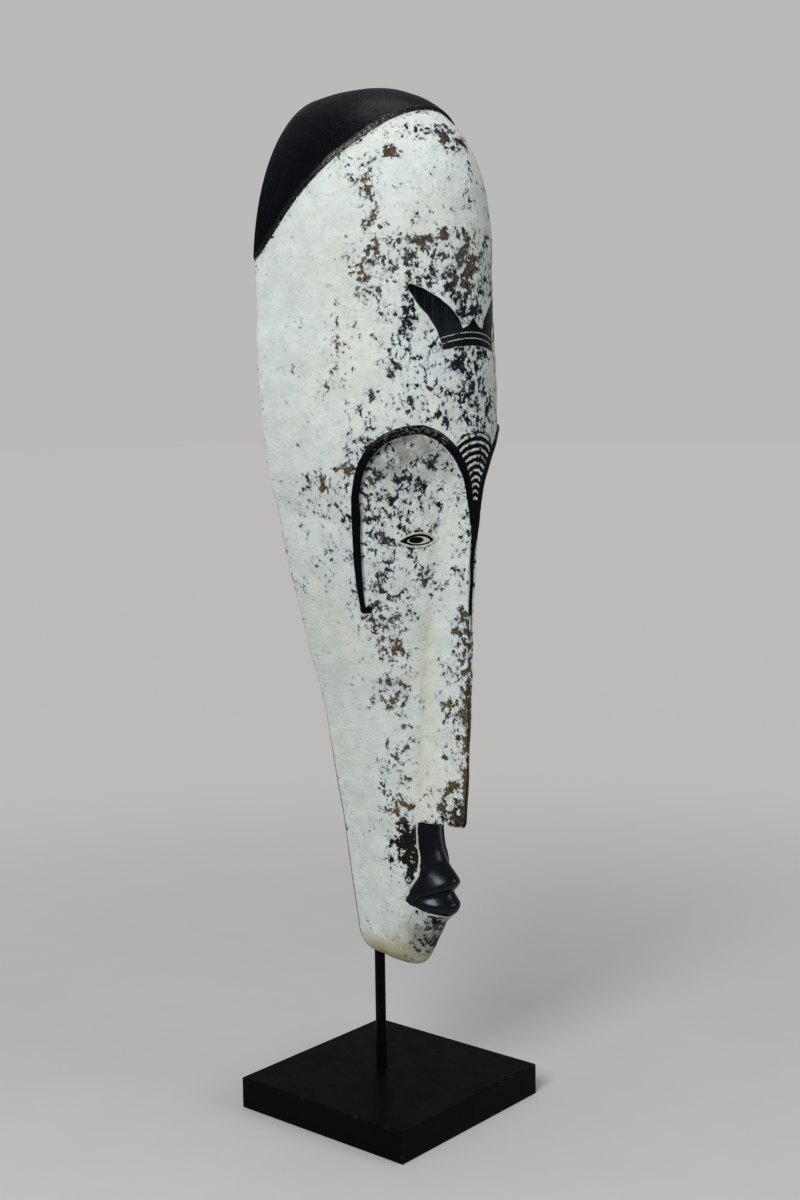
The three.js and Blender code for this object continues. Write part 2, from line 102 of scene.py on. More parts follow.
# The black of the forehead's horns and of the mouth, as (distance from the middle, height) round the outline.
horns = [(62.6, 770.4), (57, 758), (53.1, 750.3), (46, 740.3), (39.1, 728.3), (35.2, 716), (34.6, 711), (20, 714.4),
         (0, 715.6), (-20, 714.4), (-20, 729), (-13.4, 730.4), (-8, 732.4), (-4, 736), (0, 740.5), (4, 736),
         (8, 732.4), (13.4, 730.4), (16.8, 738.3), (26.5, 748.4), (38.3, 757.5), (49.3, 764.3)]
lipEdge = [(0, 197.5), (6, 198.2), (15, 200.7), (20.9, 203.6), (25.1, 208.4), (26.2, 212), (26.6, 214.2),
           (25.2, 225.7), (21.8, 239.6), (18.6, 254), (19.2, 268), (19.4, 283), (19.4, 290), (-30, 290),
           (-30, 197.5)]


def smoothCurve(points, at):
    # cubic pieces through the points, with slopes from the harmonic mean so that nothing overshoots
    x, y = np.array(points, float).T
    run = np.diff(x)
    grade = np.diff(y) / run
    before, after = grade[:-1], grade[1:]
    wide, narrow = 2 * run[1:] + run[:-1], run[1:] + 2 * run[:-1]
    same = before * after > 0
    safeBefore, safeAfter = np.where(same, before, 1), np.where(same, after, 1)
    inner = np.where(same, (wide + narrow) / (wide / safeBefore + narrow / safeAfter), 0)
    slope = np.concatenate([grade[:1], inner, grade[-1:]])
    at = np.clip(at, x[0], x[-1])
    i = np.clip(np.searchsorted(x, at, side="right") - 1, 0, len(run) - 1)
    h = run[i]
    t = (at - x[i]) / h
    return ((1 + 2 * t) * (1 - t) ** 2 * y[i] + t * (1 - t) ** 2 * h * slope[i]
            + t * t * (3 - 2 * t) * y[i + 1] + t * t * (t - 1) * h * slope[i + 1])


def curve(name, at):
    return smoothCurve(mask[name], at)


def unit(t):
    return np.clip(t, 0, 1)


def ramp(low, high, at):
    # smooth step, 3 t^2 - 2 t^3
    t = unit((at - low) / (high - low))
    return t * t * (3 - 2 * t)


def arch(t):
    # a quarter circle that rises from 0 to 1
    return np.sqrt(1 - (1 - unit(t)) ** 2)


def norm(vectors, **settings):
    return np.linalg.norm(vectors, axis=-1, **settings)


def toRim(points, front):
    # the distance to the nearer of the front's two side ends, row by row
    return np.minimum(norm(points - front[:, :1]), norm(points - front[:, -1:]))


def mix(a, b, t):
    return a + (b - a) * t


def backAt(z):
    return mask["backAt"] - mask["backLean"] * (z - mask["backFrom"])


def levels(rim):
    # one cross-section per rim height: half width, back, ridge depth, floor depth, height of the crest, squareness
    m = mask
    foot, brim, top = m["crownFoot"], m["crownRim"], m["crownTop"]
    up, down = rim > foot, rim < m["chinTop"]
    half = curve("halfWidth", rim)
    ridge, floor = curve("ridgeDepth", rim), curve("floorDepth", rim)
    power, crest = curve("squareness", rim), rim + 0.0
    # the crown folds back over its top as cosines, the chin follows two curves of its own
    share = unit((rim - foot) / (brim - foot))
    last, centre = backAt(brim), m["crownCentre"]
    lean = np.arcsin(share ** (1 / m["crownRimPower"])) / (np.pi / 2)
    lean = lean * np.arccos((last - centre) / (m["crownDepth"] - centre))
    deep = mix(centre, m["crownDepth"], np.cos(lean))
    behind = np.clip((centre - deep) / (centre - last), 0, None) ** 2
    rise = mix(foot, top, np.sin(np.minimum(lean, np.pi / 2)) ** m["crownDome"])
    crest = np.where(up, np.where(lean < np.pi / 2, rise, mix(top, brim, behind)), crest)
    half = np.where(up, m["crownHalf"] * (1 - share ** m["crownWidthPower"]) ** m["crownWidthRoot"], half)
    ridge, floor = np.where(up, deep, ridge), np.where(up, deep, floor)
    turn = np.arcsin(unit((m["chinTop"] - rim) / (m["chinTop"] - m["chinRim"])))
    reach, fall = (smoothCurve([(p[0], p[i]) for p in m["chinPath"]], turn / (np.pi / 2)) for i in (1, 2))
    crest = np.where(down, fall, crest)
    half = np.where(down, m["chinHalf"] * unit(np.cos(turn)) ** m["chinTaper"], half)
    ridge, floor = np.where(down, reach, ridge), np.where(down, reach, floor)
    power = np.where(up, 2.0, np.where(down, m["chinPower"], power))
    return dict(half=half, back=backAt(rim), ridge=ridge, floor=floor, rim=rim, crest=crest, power=power,
                ridgePower=np.where(down, m["chinPower"], 2.0))


def onLevel(level, angle, carved):
    # x = half * sin(angle); forward and height run from the rim to the crest as cos(angle) ** (2 / squareness)
    power = level["power"] if carved else level["ridgePower"]
    depth = level["floor"] if carved else level["ridge"]
    g = unit(np.cos(angle)) ** (2 / power)
    x, forward = level["half"] * np.sin(angle), mix(level["back"], depth, g)
    return np.stack([x, forward, mix(level["rim"], level["crest"], g)], -1)


def browRun(steps=120):
    # the brow line evenly stepped along its length, as angles, heights and points on the blank
    line = np.array(mask["browLine"], float)
    along = np.concatenate([[0], np.cumsum(np.hypot(np.diff(line[:, 0]) * 1.6, np.diff(line[:, 1])))])
    s = np.linspace(0, along[-1], steps + 1)
    angle, height = (smoothCurve(np.stack([along, line[:, i]], -1), s) for i in (0, 1))
    return angle, height, onLevel(levels(height), np.radians(angle), False)


def fromBrow(points, degrees):
    # the shortest distance to the brow line, and whether a point lies under the brow
    angle, height, line = browRun()
    best, under = 1e9, False
    for i in range(len(line) - 1):
        step = line[i + 1] - line[i]
        t = unit((points - line[i]) @ step / (step @ step))
        distance = norm(points - line[i] - t[..., None] * step)
        nearer = distance < best
        side = (angle[i + 1] - angle[i]) * (points[..., 2] - height[i])
        side = side - (height[i + 1] - height[i]) * (degrees - angle[i])
        best = np.where(nearer, distance, best)
        under = np.where(nearer, side > 0, under)
    return best, under


def columnAngles(rim):
    # closer on the nose, in the brow hollow and along the band
    level = levels(np.clip(rim, mask["chinTop"], mask["crownFoot"]))
    ridge = np.arcsin((mask["noseRidge"] + 1.6) / level["half"])
    foot = np.arcsin(np.clip(curve("footHalf", rim) / level["half"], 0, 0.96))
    leg = np.array(mask["browLine"][:8], float)  # the columns run along the brow line where it goes down the side
    leg = np.radians(smoothCurve([(440, 55), *zip(leg[:, 1], leg[:, 0]), (640, 50), (700, 50)], rim))
    bandIn, bandOut = leg - np.radians(4.5), leg + np.radians(4.5)
    spans = [(0 * ridge, ridge, 4), (ridge, foot, 16), (foot, bandIn, 26), (bandIn, bandOut, 20)]
    parts = [mix(a[:, None], b[:, None], np.arange(n)[None] / n) for a, b, n in spans]
    rest = np.sin(np.linspace(0, np.pi / 2, 15)) ** 1.15
    parts.append(mix(bandOut[:, None], np.pi / 2, rest[None]))
    right = np.concatenate(parts, axis=1)
    return np.concatenate([-right[:, :0:-1], right], axis=1)


def rowHeights():
    # row heights from the chin up to the crown's foot, closer together where the carving is fine
    chin = np.sin(np.linspace(np.pi / 2, 0, 22, endpoint=False))
    chin = mix(mask["chinTop"], mask["chinRim"], chin)
    spans = [(183, 196, 1.6), (196, 228, 0.95), (228, 281.4, 2.1), (281.4, 285, 0.45), (285, 290, 1), (290, 466, 3.4),
             (466, 534, 2.0), (534, 558, 0.85), (558, 600, 1.8), (600, 652, 1.15), (652, 706, 2.2), (706, 759, 1.2)]
    face = [np.linspace(a, b, max(1, round((b - a) / step)), endpoint=False) for a, b, step in spans]
    return np.concatenate([chin, *face, [mask["crownFoot"]]])


def unevenness(points, seed, longest, shortest, terms=16):
    # a sum of sine waves in random directions, between -1 and 1 or so
    draw = np.random.default_rng(seed)
    total = 0
    for i in range(terms):
        direction = draw.normal(size=3)
        direction /= np.linalg.norm(direction)
        length = longest * (shortest / longest) ** (i / (terms - 1))
        wave = np.sin(points @ direction * (2 * np.pi / length) + draw.uniform(0, 2 * np.pi))
        total += wave * (length / longest) ** 0.6
    return total / math.sqrt(terms / 2)


def insideOutline(x, z, outline):
    # signed distance to a closed outline in the x, z plane, positive inside
    corners = np.array(outline, float)
    after = np.roll(corners, -1, axis=0)
    best, inside = 1e9, False
    for (ax, az), (bx, bz) in zip(corners, after):
        dx, dz = bx - ax, bz - az
        t = unit(((x - ax) * dx + (z - az) * dz) / (dx * dx + dz * dz))
        best = np.minimum(best, np.hypot(x - ax - t * dx, z - az - t * dz))
        crosses = (az > z) != (bz > z)
        inside ^= crosses & (x < dx * (z - az) / np.where(dz == 0, 1e-9, dz) + ax)
    return np.where(inside, best, -best)


def carvedShare(z, degrees, brow):
    # 0 on the blank, 1 on the carved floor: the sides go over slowly, the brow hollow by a wall and the nose by
    # its flank, as 1 - (1 - t) ** 1.5 of the distance from the brow line
    m = mask
    distance, under = brow
    side = (1 - ramp(*m["sideFade"], z)) * ramp(*m["sideTurn"], degrees)
    inside = mix(1 - ramp(*m["cheekTurn"], degrees), under * 1.0, ramp(*m["browFade"], z))
    run = np.where((degrees > 29.7) & (z > 470), curve("outerWallRun", z), curve("wallRun", z))
    t = unit((distance - m["noseRidge"]) / run)
    wall = mix(1 - (1 - t) ** 1.5, ramp(0, 1, t), ramp(*m["wallFade"], z))
    share = side + (1 - side) * wall * inside
    share = np.where(z > m["carvedTop"], 0, share)
    return np.where(z < m["noseCut"], 1.0, share)


def eyeShape(x, z):
    # distance in mm from the almond's edge, positive outside: two arcs that meet at the corners
    e = eye
    dx, dz = np.abs(x) - e["x"], z - e["z"]
    out = []
    for tall, sign in ((e["up"], 1), (e["down"], -1)):
        radius = (e["half"] ** 2 + tall ** 2) / (2 * tall)
        out.append(np.hypot(dx, dz + sign * (radius - tall)) - radius)
    return np.maximum(*out), dx, dz


def frontSurface():
    # the whole front from the chin's end to the crown's: blank + (floor - blank) * share, and the relief along the
    # normal, as rows of points with what the paint reads at each
    m = mask
    low = rowHeights()
    lowAngles = columnAngles(low)
    rimLow = np.repeat(low[:, None], lowAngles.shape[1], 1)
    foot = m["crownFoot"]
    topAngles = columnAngles(np.array([foot]))
    hair = curve("hairline", np.abs(np.degrees(topAngles)))
    turnHair = np.arcsin(((hair - foot) / (m["crownRim"] - foot)) ** (1 / m["crownRimPower"]))
    below = (np.arange(1, 63) / 62)[:, None] ** 1.8
    above = np.concatenate([[0.0018, 0.004, 0.007, 0.011, 0.016, 0.023], np.linspace(0.034, 1, 44)])[:, None]
    turns = np.concatenate([turnHair * below, mix(turnHair, np.pi / 2, above)])
    rimTop = mix(foot, m["crownRim"], np.sin(turns) ** m["crownRimPower"])
    rim = np.concatenate([rimLow, rimTop])
    angle = np.concatenate([lowAngles, np.repeat(topAngles, len(turns), 0)])
    hairRow = len(low) + len(below) - 1
    level = levels(rim)
    blank, floor = onLevel(level, angle, False), onLevel(level, angle, True)
    degrees = np.abs(np.degrees(angle))
    x, z = np.abs(blank[..., 0]), blank[..., 2].copy()
    brow = fromBrow(np.stack([x, blank[..., 1], z], -1), degrees)
    share = carvedShare(z, degrees, brow)
    isFace = rim <= foot
    share = np.where(isFace, share, 0)
    point = mix(blank, floor, share[..., None])

    # muzzle set in behind its edge, then the lips, then the nose's slanting underside
    edge = curve("footHalf", z)
    inSet = (1 - ramp(edge - 1.8, edge - 0.2, x)) * ramp(0, 0.7, x / edge)
    inSet = inSet * ramp(m["muzzleLow"], m["muzzleLow"] + 10, z)
    point[..., 1] -= m["muzzleStep"] * inSet * ((z < m["noseCut"]) & (z > m["chinTop"]))
    width = unit(1 - (x / m["mouthHalf"]) ** 2)
    crease = m["mouthCrease"] - m["mouthDroop"] * np.clip(x / 26, 0, 1.3) ** 2
    nearMouth = (z < 300) & (z > m["chinTop"] - 20)
    lift = curve("lips", (z - crease) / (0.22 + 0.78 * width)) * width ** 0.7
    point[..., 1] += np.where(nearMouth & (z < m["noseCut"]), lift, 0)
    tilt = m["noseWingRise"] * unit(x / 19) - m["noseTipDrop"]
    point[..., 2] += np.where(nearMouth, tilt * np.exp(-((z - m["noseCut"]) / 18) ** 2), 0)
    rounding = m["noseRound"] * (1 - arch((z - m["noseCut"]) / 5)) * (1 - share) * (z < 290)
    rounding += m["ridgeRound"] * np.exp(-((x - m["noseRidge"]) / 1.7) ** 2) * ramp(560, 520, z)
    point[..., 1] -= rounding * (z >= m["noseCut"])

    # outward normals of this surface, kept level at the rim and upright at the two ends
    normal = np.cross(np.gradient(point, axis=0), np.gradient(point, axis=1))
    core = np.stack([0 * x, 0 * x + 10, np.clip(point[..., 2], 185, 800)], -1)
    normal *= np.sign((normal * (point - core)).sum())
    normal[:, [0, -1], 1] = 0
    normal[0], normal[-1] = (0, 0, -1), (0, 0, 1)
    normal /= norm(normal, keepdims=True) + 1e-9

    # distance from the hairline, positive in the hair: the way to it without the part that runs along it
    line = point[hairRow]
    along = np.gradient(line, axis=0)
    along /= norm(along, keepdims=True)
    way = point - line[None]
    way = way - (way * along[None]).sum(-1, keepdims=True) * along[None]
    hairEdge = norm(way) * np.where(np.arange(len(point)) >= hairRow, 1, -1)[:, None]
    hairEdge = np.where(z < 720, -50, hairEdge)

    distance, under = brow
    inner, outer = degrees < 30, degrees > 30  # the band's two legs
    onNose, outerLeg = inner * (1 - ramp(525, 600, z)), outer * (1 - ramp(500, 625, z))
    bandEdge = m["bandHalf"] - distance - 6 * (1 - unit(ramp(*m["bandFade"], z) + inner))
    bandEdge = bandEdge - onNose * m["bandThin"][0] - outerLeg * m["bandThin"][1]
    bandEdge = np.where((z < 480) & outer, -9, bandEdge)
    # the outer leg ends in a short stroke towards the nose; a degree is about 1.84 mm there
    toe = np.hypot(1.84 * (degrees - np.clip(degrees, *m["bandToe"])), z - m["bandToeAt"])
    bandEdge = np.maximum(bandEdge, m["bandToeHalf"] - toe)
    bandLift = m["bandProud"] * np.sqrt(unit(1 - (distance / m["bandHalf"]) ** 2))
    bandLift = bandLift * unit(ramp(*m["bandLiftFade"], z) + inner) * (1 - onNose) * ((z > 466) & isFace)

    almond, eyeX, eyeZ = eyeShape(point[..., 0], point[..., 2])
    nearEye = np.abs(z - eye["z"]) < eye["near"]
    almond = np.where(nearEye & (x < 70) & (x > 12), almond, 30)
    eyeLift = eye["rimProud"] * np.exp(-((almond - eye["rimAt"]) / eye["rimWidth"]) ** 2)
    eyeLift = eyeLift + eye["ballDeep"] * (ramp(-1.5, -4.5, almond) - ramp(0.6, -0.6, almond))

    hornsEdge = insideOutline(x, z, horns)
    lipsEdge = insideOutline(x, z, lipEdge)
    muzzleEdge = np.where(z < m["noseCut"] + 0.1, lipsEdge, -9)
    rimDistance = toRim(point, point)

    relief = m["hairProud"] * arch(hairEdge / m["hairRound"])
    relief += bandLift + eyeLift * nearEye - m["hornDeep"] * ramp(-0.2, 0.7, hornsEdge)
    relief -= m["rimRound"] * (1 - arch(rimDistance / 1.6))
    relief += m["unevenness"] * unevenness(point, 5, 90, 22) * ramp(0, 12, rimDistance)
    point = point + normal * relief[..., None]

    # the fan of arcs between the brows, and the black where the two bands meet on the nose
    arcs = (z + m["arcDrop"] * (x / curve("bridgeHalf", z)) ** 2 - m["arcAt"]) / m["arcRise"]
    meet = np.maximum(bandEdge, np.minimum(curve("bandsMeet", z) - x, (579 - z) / 3))
    bandEdge = np.where((z < 583) & (z > m["noseCut"]), meet, bandEdge)
    paint = dict(hair=hairEdge, band=bandEdge, horns=hornsEdge, hornLine=z + m["barBend"] * x ** 2, arcs=arcs,
                 bridge=np.where(~under & (z < 646) & (z > 560) & (x < 26), 26 - x, -9),
                 muzzle=muzzleEdge, almond=almond, eyeX=eyeX, eyeZ=eyeZ, rimDistance=rimDistance)
    return point, paint, degrees


def backSurface(front):
    # rows from the right rim to the left one: a flat border, then the hollow, which deepens as (1 - s^2) ** 0.45
    m = mask
    wide, z = front[:, -1, 0], front[:, -1, 2]
    rounded = np.minimum(arch((z - hollow["low"]) / 150), arch((hollow["top"] - z) / 120))
    half = (curve("halfWidth", z) - hollow["wall"]) * rounded
    level = levels(np.clip(z, m["chinTop"], m["crownRim"] - 0.1))
    deep = (np.minimum(level["floor"], curve("floorDepth", z)) - hollow["cover"] - backAt(z)) * rounded
    share = np.clip(np.maximum(half + 1.2, 14) / np.maximum(wide, 1e-3), 0.05, 0.86)
    border = mix(1.0, share[:, None], (np.arange(1, 5) / 5)[None])
    sweepIn = share[:, None] * np.cos(np.linspace(0, np.pi, 31))[None]
    s = np.concatenate([border, sweepIn, -border[:, ::-1]], axis=1)
    x = s * wide[:, None]
    plane = backAt(z)[:, None] + 0 * x
    ribHalf = (smoothCurve(rib, z) * ((z > rib[0][0]) & (z < rib[-1][0])))[:, None]
    ribBack = -np.sqrt(np.clip(ribHalf ** 2 - x ** 2, 0, None))
    forward = np.where(np.abs(x) < ribHalf, np.minimum(plane, ribBack), plane)
    inside = unit(1 - (x / np.clip(half, 0.001, None)[:, None]) ** 2) ** 0.45 * (half > 0.5)[:, None]
    forward = np.where(inside > 0, plane + deep[:, None] * inside, forward)
    point = np.stack([x, forward, z[:, None] + 0 * x], -1)
    point[..., 1] += 0.5 * unevenness(point, 9, 60, 14) * (inside > 0) * ramp(0, 0.3, inside)
    return point


def newObject(name, data):
    made = bpy.data.objects.new(name, data)
    bpy.context.scene.collection.objects.link(made)
    return made


def makeMesh(name, points, triangles, attributes, materialIndex):
    mesh = bpy.data.meshes.new(name)
    mesh.vertices.add(len(points))
    mesh.vertices.foreach_set("co", points.astype(np.float32).ravel())
    mesh.loops.add(triangles.size)
    mesh.loops.foreach_set("vertex_index", triangles.astype(np.int32).ravel())
    mesh.polygons.add(len(triangles))
    mesh.polygons.foreach_set("loop_start", np.arange(0, triangles.size, 3, dtype=np.int32))
    mesh.polygons.foreach_set("material_index", materialIndex.astype(np.int32))
    mesh.shade_smooth()
    mesh.update(calc_edges=True)
    mesh.set_sharp_from_angle(angle=math.radians(52))
    for key, values in attributes.items():
        mesh.attributes.new(key, "FLOAT", "POINT").data.foreach_set("value", values.astype(np.float32))
    return newObject(name, mesh)


# Places where the paint has worn: x, forward, z, reach across, reach up, how much, and the share that shows ochre.
# They are for the left side, and the right side has the same ones fainter.
wornPlaces = [
    # on the forehead
    (-39, 85, 897, 11, 6, 0.9), (-42, 77, 902, 14, 9, 0.8, 0.1), (-11, 100, 895, 14, 14, 1.35, 0.2),
    (-57, 77, 881, 11, 6, 1, 0.4), (-81, 43, 873, 20, 8, 0.3), (-78, 52, 867, 12, 12, 0.35),
    (-3, 116, 857, 15, 45, 0.15, 0.2), (-77, 65, 849, 9, 15, 1.05, 1), (-32, 111, 840, 35, 62, 0.15, 0.2),
    (-78, 73, 812, 8, 38, 1, 0.9), (-19, 118, 812, 13, 15, 0.5, 0.5), (-38, 111, 804, 18, 16, 0.6, 0.5),
    (-64, 92, 800, 16, 11, 0.8, 0.5), (-3, 121, 799, 10, 27, 0.15, 0.4), (-49, 105, 789, 44, 12, 0.5, 0.3),
    (-6, 121, 787, 15, 15, 0.7, 0.5), (-82, 68, 786, 16, 24, 0.6, 0.8), (-64, 92, 779, 50, 27, 0.35, 0.2),
    # round the horns
    (-35, 112, 772, 35, 12, 0.75, 0.1), (-17, 118, 765, 18, 13, 1, 0.3), (-84, 67, 761, 20, 12, 0.25, 0.4),
    (-4, 121, 747, 9, 6, 0.35), (-63, 95, 739, 12, 14, 1.25), (-87, 65, 739, 16, 32, 0.1, 0.6),
    (-91, 56, 736, 20, 13, 0.25, 0.5), (-15, 119, 720, 35, 31, 0.95), (-98, 49, 713, 10, 12, 0.7, 1),
    (-58, 100, 716, 21, 28, 0.8), (-64, 96, 702, 27, 6, 0.2), (-72, 87, 697, 11, 12, 0.4, 0.4),
    (-101, 44, 688, 14, 18, 0.6, 0.9), (-108, 24, 680, 22, 24, 0.15, 0.8), (-39, 114, 672, 13, 12, 0.2, 0.1),
    (-59, 101, 669, 16, 14, 1, 0.2), (-82, 76, 674, 10, 7, 0.85, 0.4), (-4, 123, 665, 20, 40, 0.65, 0.1),
    (-9, 122, 669, 25, 34, 0.25), (-112, 2, 665, 7, 12, 0.45, 1), (-55, 104, 656, 71, 9, 0.3, 0.1),
    (-5, 123, 643, 10, 14, 0.5),
    # on the side
    (-88, 65, 628, 11, 11, 0.45, 0.1), (-95, 49, 610, 9, 12, 0.85, 0.7), (-103, 19, 602, 25, 14, 0.3, 0.9),
    (-99, 30, 593, 13, 17, 0.95, 1), (-93, 27, 571, 32, 10, 0.6, 0.2), (-86, 27, 530, 40, 40, 0.3, 0.3),
    # under the brow
    (-51, 94, 606, 52, 39, 0.6, 0.1), (-80, 66, 607, 16, 39, 0.85, 0.2), (-48, 93, 594, 9, 17, 1.15, 0.2),
    (-70, 70, 580, 27, 17, 0.8, 0.2), (-37, 93, 562, 13, 33, 0.4, 0.1), (-48, 84, 552, 11, 15, 0.45, 0.1),
    (-26, 96, 551, 7, 9, 0.45, 0.8), (-59, 74, 549, 26, 22, 0.55, 0.1), (-62, 68, 536, 36, 9, 0.3, 0.1),
    (-38, 88, 522, 15, 28, 0.7, 0.3), (-32, 87, 504, 12, 17, 0.1, 0.3), (-69, 54, 506, 11, 16, 0.35, 0.2),
    (-53, 68, 492, 12, 12, 0.4, 0.2), (-62, 61, 500, 24, 15, 0.3, 0.1),
    # on the nose
    (-8, 116, 543, 10, 59, 0.5), (-5, 111, 440, 9, 48, 0.95, 0.45), (-12, 96, 392, 9, 14, 0.5, 0.7),
    (-8, 100, 370, 10, 75, 0.9, 0.6), (-3, 110, 354, 4, 69, 0.95, 0.6), (-2, 108, 322, 5, 34, 0.6, 0.5),
    (-8, 95, 304, 11, 23, 0.5, 0.6), (-7, 97, 297, 16, 15, 1.75, 0.15), (-9, 92, 288, 9, 7, 1.4),
    # on the cheek
    (-68, 50, 487, 11, 16, 0.4, 0.2), (-61, 55, 484, 19, 27, 0.9, 0.3), (-54, 62, 474, 15, 19, 0.35, 0.6),
    (-54, 57, 456, 9, 11, 1.25, 0.9), (-46, 64, 449, 18, 34, 0.45, 0.6), (-41, 63, 420, 10, 36, 0.65, 0.8),
    (-38, 60, 405, 12, 15, 0.4, 1), (-52, 40, 408, 18, 12, 0.35, 0.8), (-45, 51, 402, 23, 15, 0.35, 1),
    (-46, 32, 354, 10, 7, 0.15, 0.6), (-37, 52, 344, 13, 16, 0.7, 1), (-35, 55, 337, 15, 42, 0.45, 0.8),
    (-33, 52, 303, 18, 18, 0.85, 0.8),
    # by the mouth and chin
    (-26, 58, 265, 12, 28, 1.85), (-29, 52, 254, 17, 26, 0.8), (-26, 62, 239, 5, 19, 1.55),
    (-12, 71, 183, 16, 28, 0.55, 0.15), (-10, 68, 172, 19, 20, 0.6, 0.25), (-20, 72, 203, 8, 6, 0.5),
    (-4, 104, 287, 7, 6, 1.4),
]
# Places where hardly any paint is left.
barePlaces = [
    (-26, 60, 264, 8, 22, 0.5), (-4, 121, 747, 5, 5, 0.7), (-11, 100, 895, 6, 5, 0.7), (-3, 106, 287, 4, 5, 0.8),
    (-58, 78, 880, 8, 3, 0.75), (-77, 66, 845, 3, 6, 0.5), (0, 108, 318, 3.4, 30, 0.42),
    (0, 112, 382, 3.4, 36, 0.36),
]
# Places where the white has gone the colour of cream, and how grey it is there; the grey ones under the brow's arch
# are dirt and painted shade.
creamPlaces = [
    (-21, 81, 450, 8, 90, 0.8), (-21, 76, 330, 8, 60, 0.65), (-24, 25, 151, 42, 16, 2.1),
    (-85, 40, 760, 30, 60, 0.25), (-50, 85, 622, 36, 22, 1.3, 1), (-66, 74, 606, 12, 22, 0.5, 1),
    (-6, 70, 170, 24, 24, 1.7, 1), (-63, 97, 735, 14, 16, 0.5, 1), (-60, 62, 540, 20, 40, 0.25, 1),
]
# How far wear goes at most, what there is of it everywhere, near the nose, under the hair and along the back's edge.
wearing = dict(most=0.88, everywhere=0.06, nearNose=0.12, underHair=0.4, backEdge=0.35, farSide=0.8)


def sumPlaces(points, places, farShare):
    # bell curves added up, each falling off with the level distance and with the height from its centre
    much = tinted = 0
    for cx, cf, cz, across, up, amount, *tint in places:
        for side, share in ((1, 1), (-1, farShare)):
            level = (points[..., 0] - side * cx) ** 2 + (points[..., 1] - cf) ** 2
            bell = share * amount * np.exp(-level / across ** 2 - ((points[..., 2] - cz) / up) ** 2)
            much += bell
            tinted += bell * sum(tint)
    return much, tinted / (much + 0.05)


def buildMask():
    front, paint, degrees = frontSurface()
    back = backSurface(front)
    rows, across = front.shape[:2]
    # the back's first and last columns are the rim's own points, and the two end rows draw in to one point each
    ids = np.arange(rows * across).reshape(rows, across)
    inner = rows * across + np.arange(rows * back.shape[1]).reshape(rows, -1)
    for end in (0, -1):
        ids[end, :] = ids[end, 0]
        inner[end, :] = ids[end, 0]
    backIds = np.concatenate([ids[:, -1:], inner, ids[:, :1]], axis=1)

    def squares(index):
        a, b, d, e = index[:-1, :-1], index[:-1, 1:], index[1:, :-1], index[1:, 1:]
        tri = np.concatenate([np.stack([a, b, e], -1).reshape(-1, 3), np.stack([a, e, d], -1).reshape(-1, 3)])
        return tri[(tri != np.roll(tri, 1, axis=1)).all(1)]  # without those that have no area

    frontTri, backTri = squares(ids), squares(backIds)
    triangles = np.concatenate([frontTri, backTri])
    which = np.arange(len(triangles)) >= len(frontTri)
    points = np.concatenate([front.reshape(-1, 3), back.reshape(-1, 3)])
    placed = np.stack([points[:, 0], rodBehind - points[:, 1], points[:, 2]], -1) * mm
    placed = np.clip(placed, *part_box("mask"))  # nowhere proud of the CAD solid's box
    w = wearing
    wear, ochre = sumPlaces(front, wornPlaces, w["farSide"])
    wear = w["most"] * (1 - np.exp(-wear / w["most"])) + w["everywhere"] + w["nearNose"] * ramp(70, 45, degrees)
    wear += sumPlaces(front, barePlaces, w["farSide"])[0]
    wear += w["underHair"] * np.exp(-((paint["hair"] + 1.5) / 2.5) ** 2)
    wear += w["backEdge"] * np.exp(-(paint["rimDistance"] / 2.2) ** 2)
    paint["wear"], paint["ochre"] = wear, ochre
    paint["cream"], paint["grey"] = sumPlaces(front, creamPlaces, 1)
    attributes = {key: np.concatenate([value.ravel(), np.zeros(inner.size)]) for key, value in paint.items()}
    attributes["fromRim"] = np.concatenate([np.zeros(ids.size), toRim(back, front).ravel()])
    used, triangles = np.unique(triangles, return_inverse=True)
    triangles = triangles.reshape(-1, 3)
    print("mask:", len(triangles), "triangles")
    return makeMesh("carved_mask", placed[used], triangles, {k: v[used] for k, v in attributes.items()}, which)


carvedMask = buildMask()
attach(carvedMask, "root")
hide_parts("mask")


def feed(node, inputs):
    # a socket is linked to the input, anything else becomes the input's own value
    for key, value in inputs.items():
        if isinstance(value, bpy.types.NodeSocket):
            node.id_data.links.new(value, node.inputs[key])
        else:
            node.inputs[key].default_value = value


drawing = {}  # its "tree" is the node tree that the functions below add to, the one begun last


def put(kind, inputs=None, **settings):
    made = drawing["tree"].nodes.new("ShaderNode" + kind)
    for key, value in settings.items():
        setattr(made, key, value)
    feed(made, inputs or {})
    return made


def maths(operation, *values, clamp=False):
    return put("Math", dict(enumerate(values)), operation=operation, use_clamp=clamp).outputs[0]


def joining(operation):
    # a function that takes any number of values together by one operation
    def joined(*values):
        result = values[0]
        for value in values[1:]:
            result = maths(operation, result, value)
        return result
    return joined


most, times, plus = joining("MAXIMUM"), joining("MULTIPLY"), joining("ADD")


def minus(first, second, clamp=False):
    return maths("SUBTRACT", first, second, clamp=clamp)


def scaled(value, by, rise, clamp=False):
    # value * by + rise
    return maths("MULTIPLY_ADD", value, by, rise, clamp=clamp)


def tint(share, first, second):
    # from the first colour to the second as the share goes from 0 to 1
    first, second = (c if isinstance(c, bpy.types.NodeSocket) else (*c, 1) for c in (first, second))
    return put("Mix", {0: share, 6: first, 7: second}, data_type="RGBA").outputs[2]


def step(value, low, high, to=(0, 1)):
    # smooth step from low to high
    ends = {0: value, 1: low, 2: high, 3: to[0], 4: to[1]}
    return put("MapRange", ends, interpolation_type="SMOOTHSTEP").outputs[0]


